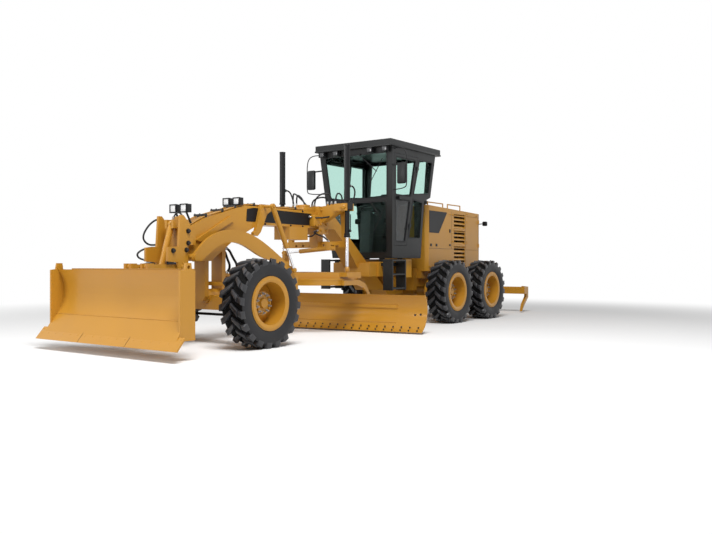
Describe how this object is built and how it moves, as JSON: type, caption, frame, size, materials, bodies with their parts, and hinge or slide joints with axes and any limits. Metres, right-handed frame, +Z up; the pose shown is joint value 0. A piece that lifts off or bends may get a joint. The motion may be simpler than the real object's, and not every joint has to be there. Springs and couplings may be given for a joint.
{
  "type": "motor grader",
  "caption": "Articulated motor grader: a turning blade under a long arched frame, a front dozer blade, a glazed cab over the hitch, tandem rear wheels and a rear ripper.",
  "frame": {"origin": "on the ground at the middle of the machine's length, in its centre plane", "axes": "+X forward, +Y to the machine's left, +Z up"},
  "size_m": [11.25, 3.663, 3.345],
  "materials": {
    "machine_yellow": "semi-gloss yellow paint",
    "tyre_black": "matt rubber",
    "cab_charcoal": "satin charcoal paint",
    "cab_glass": "clear, slightly green",
    "seat_grey": "matt",
    "engine_grey": "matt paint",
    "black_paint": "satin black paint",
    "rod_chrome": "polished"
  },
  "bodies": {
    "front": {"front_frame": "machine_yellow", "lift_saddle": "machine_yellow", "dozer_tower": "machine_yellow", "cab_shell": "cab_charcoal", "cab_glass": "cab_glass", "driver_station": "seat_grey", "cab_steps": "cab_charcoal", "mirrors_and_lamps": "cab_charcoal"},
    "rear": {"rear_chassis": "machine_yellow", "engine_block": "engine_grey", "hood": "machine_yellow"},
    "axle": {"front_axle": "machine_yellow"},
    "tie_end": {"tie_rod_end": "black_paint"},
    "tie": {"tie_rod": "black_paint"},
    "lean_link": {"lean_bar": "machine_yellow"},
    "swivel": {"drawbar_swivel": "machine_yellow"},
    "drawbar": {"drawbar": "machine_yellow"},
    "circle": {"circle": "machine_yellow"},
    "bracket": {"blade_bracket": "machine_yellow"},
    "board": {"moldboard": "machine_yellow"},
    "shift_barrel": {"shift_barrel": "machine_yellow"},
    "shift_rod": {"shift_rod": "rod_chrome"},
    "side_arm": {"side_arm": "machine_yellow"},
    "arm_barrel": {"arm_barrel": "machine_yellow"},
    "arm_rod": {"arm_rod": "rod_chrome"},
    "dozer_arms": {"dozer_arms": "machine_yellow"},
    "dozer_top_link": {"dozer_top_link": "machine_yellow"},
    "dozer_blade": {"dozer_blade": "machine_yellow"},
    "dozer_barrel": {"dozer_barrel": "machine_yellow"},
    "dozer_rod": {"dozer_rod": "rod_chrome"},
    "ripper": {"ripper": "machine_yellow"},
    "tandem_left": {"tandem_case_left": "machine_yellow"},
    "yoke_left": {"lean_yoke_left": "machine_yellow"},
    "knuckle_left": {"knuckle_left": "machine_yellow"},
    "lift_barrel_left": {"lift_barrel_left": "black_paint"},
    "lift_rod_left": {"lift_rod_left": "rod_chrome"},
    "cab_door_left": {"cab_door_left": "cab_charcoal"},
    "hood_door_left": {"hood_door_left": "machine_yellow"},
    "wheel_front_left": {"tyre_front_left": "tyre_black", "rim_front_left": "machine_yellow"},
    "wheel_tandem_front_left": {"tyre_tandem_front_left": "tyre_black", "rim_tandem_front_left": "machine_yellow"},
    "wheel_tandem_rear_left": {"tyre_tandem_rear_left": "tyre_black", "rim_tandem_rear_left": "machine_yellow"},
    "tandem_right": {"tandem_case_right": "machine_yellow"},
    "yoke_right": {"lean_yoke_right": "machine_yellow"},
    "knuckle_right": {"knuckle_right": "machine_yellow"},
    "lift_barrel_right": {"lift_barrel_right": "black_paint"},
    "lift_rod_right": {"lift_rod_right": "rod_chrome"},
    "cab_door_right": {"cab_door_right": "cab_charcoal"},
    "hood_door_right": {"hood_door_right": "machine_yellow"},
    "wheel_front_right": {"tyre_front_right": "tyre_black", "rim_front_right": "machine_yellow"},
    "wheel_tandem_front_right": {"tyre_tandem_front_right": "tyre_black", "rim_tandem_front_right": "machine_yellow"},
    "wheel_tandem_rear_right": {"tyre_tandem_rear_right": "tyre_black", "rim_tandem_rear_right": "machine_yellow"}
  },
  "joints": [
    {"name": "articulation", "type": "hinge", "parent": "front", "child": "rear", "pos_m": [-1.125, 0, 0.84], "axis": [0, 0, 1], "range_deg": [-20, 20]},
    {"name": "tandem_left_swing", "type": "hinge", "parent": "rear", "child": "tandem_left", "pos_m": [-2.345, 0.64, 0.605], "axis": [0, 1, 0], "range_deg": [-15, 15]},
    {"name": "tandem_front_left_spin", "type": "hinge", "parent": "tandem_left", "child": "wheel_tandem_front_left", "pos_m": [-1.585, 0.99, 0.605], "axis": [0, 1, 0], "continuous": true},
    {"name": "tandem_rear_left_spin", "type": "hinge", "parent": "tandem_left", "child": "wheel_tandem_rear_left", "pos_m": [-3.105, 0.99, 0.605], "axis": [0, 1, 0], "continuous": true},
    {"name": "tandem_right_swing", "type": "hinge", "parent": "rear", "child": "tandem_right", "pos_m": [-2.345, -0.64, 0.605], "axis": [0, 1, 0], "range_deg": [-15, 15]},
    {"name": "tandem_front_right_spin", "type": "hinge", "parent": "tandem_right", "child": "wheel_tandem_front_right", "pos_m": [-1.585, -0.99, 0.605], "axis": [0, 1, 0], "continuous": true},
    {"name": "tandem_rear_right_spin", "type": "hinge", "parent": "tandem_right", "child": "wheel_tandem_rear_right", "pos_m": [-3.105, -0.99, 0.605], "axis": [0, 1, 0], "continuous": true},
    {"name": "axle_swing", "type": "hinge", "parent": "front", "child": "axle", "pos_m": [3.775, 0, 0.68], "axis": [1, 0, 0], "range_deg": [-16, 16]},
    {"name": "lean_left", "type": "hinge", "parent": "axle", "child": "yoke_left", "pos_m": [3.775, 0.57, 0.56], "axis": [1, 0, 0], "range_deg": [-18, 18]},
    {"name": "steer_left", "type": "hinge", "parent": "yoke_left", "child": "knuckle_left", "pos_m": [3.775, 0.7, 0.575], "axis": [0, 0, 1], "range_deg": [-50, 50]},
    {"name": "front_left_spin", "type": "hinge", "parent": "knuckle_left", "child": "wheel_front_left", "pos_m": [3.775, 0.99, 0.605], "axis": [0, 1, 0], "continuous": true},
    {"name": "lean_right", "type": "hinge", "parent": "axle", "child": "yoke_right", "pos_m": [3.775, -0.57, 0.56], "axis": [1, 0, 0], "range_deg": [-18, 18]},
    {"name": "steer_right", "type": "hinge", "parent": "yoke_right", "child": "knuckle_right", "pos_m": [3.775, -0.7, 0.575], "axis": [0, 0, 1], "range_deg": [-50, 50]},
    {"name": "front_right_spin", "type": "hinge", "parent": "knuckle_right", "child": "wheel_front_right", "pos_m": [3.775, -0.99, 0.605], "axis": [0, 1, 0], "continuous": true},
    {"name": "tie_end_turn", "type": "hinge", "parent": "knuckle_left", "child": "tie_end", "pos_m": [3.525, 0.7, 0.398], "axis": [0, 0, 1], "range_deg": [-50, 50]},
    {"name": "tie_rod_turn", "type": "hinge", "parent": "tie_end", "child": "tie", "pos_m": [3.525, 0.7, 0.398], "axis": [1, 0, 0], "range_deg": [-18, 18]},
    {"name": "lean_bar_turn", "type": "hinge", "parent": "yoke_left", "child": "lean_link", "pos_m": [3.775, 0.6, 0.86], "axis": [1, 0, 0], "range_deg": [-18, 18]},
    {"name": "drawbar_swing", "type": "hinge", "parent": "front", "child": "swivel", "pos_m": [3.435, 0, 0.9], "axis": [0, 0, -1], "range_deg": [-8, 8]},
    {"name": "drawbar_lift", "type": "hinge", "parent": "swivel", "child": "drawbar", "pos_m": [3.435, 0, 0.9], "axis": [0, 1, 0], "range_deg": [-18, 10.5]},
    {"name": "circle_turn", "type": "hinge", "parent": "drawbar", "child": "circle", "pos_m": [1.325, 0, 0.83], "axis": [0, 0, 1], "continuous": true},
    {"name": "blade_tip", "type": "hinge", "parent": "circle", "child": "bracket", "pos_m": [0.7686, -0.06339, 0.23], "axis": [-0.1132, 0.9936, 0], "range_deg": [-5, 40]},
    {"name": "blade_shift", "type": "slide", "parent": "bracket", "child": "board", "axis": [0.1132, -0.9936, 0], "range_m": [-0.6, 0.5]},
    {"name": "lift_left_turn", "type": "hinge", "parent": "front", "child": "lift_barrel_left", "pos_m": [1.395, 0.7, 2.08], "axis": [1, 0, 0], "range_deg": [-18, 18]},
    {"name": "lift_left_slide", "type": "slide", "parent": "lift_barrel_left", "child": "lift_rod_left", "axis": [0, 0, 1], "range_m": [-0.68, 0.45]},
    {"name": "lift_right_turn", "type": "hinge", "parent": "front", "child": "lift_barrel_right", "pos_m": [1.395, -0.7, 2.08], "axis": [1, 0, 0], "range_deg": [-18, 18]},
    {"name": "lift_right_slide", "type": "slide", "parent": "lift_barrel_right", "child": "lift_rod_right", "axis": [0, 0, 1], "range_m": [-0.68, 0.45]},
    {"name": "shift_turn", "type": "hinge", "parent": "front", "child": "shift_barrel", "pos_m": [1.495, 0.44, 1.4], "axis": [1, 0, 0], "range_deg": [-25, 36]},
    {"name": "shift_slide", "type": "slide", "parent": "shift_barrel", "child": "shift_rod", "axis": [0, -0.9975, -0.0712], "range_m": [-0.28, 0.28]},
    {"name": "side_arm_lift", "type": "hinge", "parent": "front", "child": "side_arm", "pos_m": [4.338, 0.305, 1.23], "axis": [0, 1, 0], "range_deg": [-2, 10]},
    {"name": "arm_barrel_turn", "type": "hinge", "parent": "front", "child": "arm_barrel", "pos_m": [2.853, 0.375, 2.01], "axis": [0, 1, 0], "range_deg": [-6, 14]},
    {"name": "arm_rod_slide", "type": "slide", "parent": "arm_barrel", "child": "arm_rod", "axis": [0.4596, 0, 0.8881], "range_m": [-0.1, 0.32]},
    {"name": "dozer_lift", "type": "hinge", "parent": "front", "child": "dozer_arms", "pos_m": [4.495, 0, 0.7], "axis": [0, -1, 0], "range_deg": [-20, 35]},
    {"name": "dozer_blade_level", "type": "hinge", "parent": "dozer_arms", "child": "dozer_blade", "pos_m": [5.025, 0, 0.7], "axis": [0, -1, 0], "range_deg": [-35, 20]},
    {"name": "dozer_link_turn", "type": "hinge", "parent": "front", "child": "dozer_top_link", "pos_m": [4.495, 0, 1.1], "axis": [0, -1, 0], "range_deg": [-20, 35]},
    {"name": "dozer_barrel_turn", "type": "hinge", "parent": "front", "child": "dozer_barrel", "pos_m": [4.485, 0, 1.68], "axis": [0, -1, 0], "range_deg": [-8, 8]},
    {"name": "dozer_rod_slide", "type": "slide", "parent": "dozer_barrel", "child": "dozer_rod", "axis": [-0.2933, 0, 0.956], "range_m": [-0.12, 0.2]},
    {"name": "ripper_lift", "type": "hinge", "parent": "rear", "child": "ripper", "pos_m": [-4.425, 0, 0.64], "axis": [0, 1, 0], "range_deg": [-24, 30]},
    {"name": "cab_door_left_open", "type": "hinge", "parent": "front", "child": "cab_door_left", "pos_m": [-0.584, 0.76373, 2.305], "axis": [-0.135, 0.0719, 0.9882], "range_deg": [0, 75]},
    {"name": "cab_door_right_open", "type": "hinge", "parent": "front", "child": "cab_door_right", "pos_m": [-0.584, -0.76373, 2.305], "axis": [0.135, 0.0719, -0.9882], "range_deg": [0, 75]},
    {"name": "hood_door_left_open", "type": "hinge", "parent": "rear", "child": "hood_door_left", "pos_m": [-3.715, 0.562, 1.8], "axis": [0, 0, 1], "range_deg": [0, 100]},
    {"name": "hood_door_right_open", "type": "hinge", "parent": "rear", "child": "hood_door_right", "pos_m": [-3.715, -0.562, 1.8], "axis": [0, 0, -1], "range_deg": [0, 100]}
  ],
  "couplings": [
    {"joint": "lean_right", "follows": "lean_left", "ratio": 1},
    {"joint": "steer_right", "follows": "steer_left", "ratio": 1},
    {"joint": "tie_end_turn", "follows": "steer_left", "ratio": -1},
    {"joint": "tie_rod_turn", "follows": "lean_left", "ratio": -0.814},
    {"joint": "lean_bar_turn", "follows": "lean_left", "ratio": -0.95},
    {"joint": "lift_left_turn", "follows": "drawbar_swing", "ratio": 1.94},
    {"joint": "lift_left_slide", "follows": "drawbar_lift", "m_per_rad": 2.04},
    {"joint": "lift_right_turn", "follows": "drawbar_swing", "ratio": 1.94},
    {"joint": "lift_right_slide", "follows": "drawbar_lift", "m_per_rad": 2.04},
    {"joint": "shift_turn", "follows": "drawbar_lift", "ratio": -1.85},
    {"joint": "shift_slide", "follows": "drawbar_swing", "m_per_rad": -1.94},
    {"joint": "arm_barrel_turn", "follows": "side_arm_lift", "ratio": 1.125},
    {"joint": "arm_rod_slide", "follows": "side_arm_lift", "m_per_rad": 1.67},
    {"joint": "dozer_blade_level", "follows": "dozer_lift", "ratio": -1},
    {"joint": "dozer_link_turn", "follows": "dozer_lift", "ratio": 1},
    {"joint": "dozer_barrel_turn", "follows": "dozer_lift", "ratio": -0.065},
    {"joint": "dozer_rod_slide", "follows": "dozer_lift", "m_per_rad": 0.26}
  ]
}
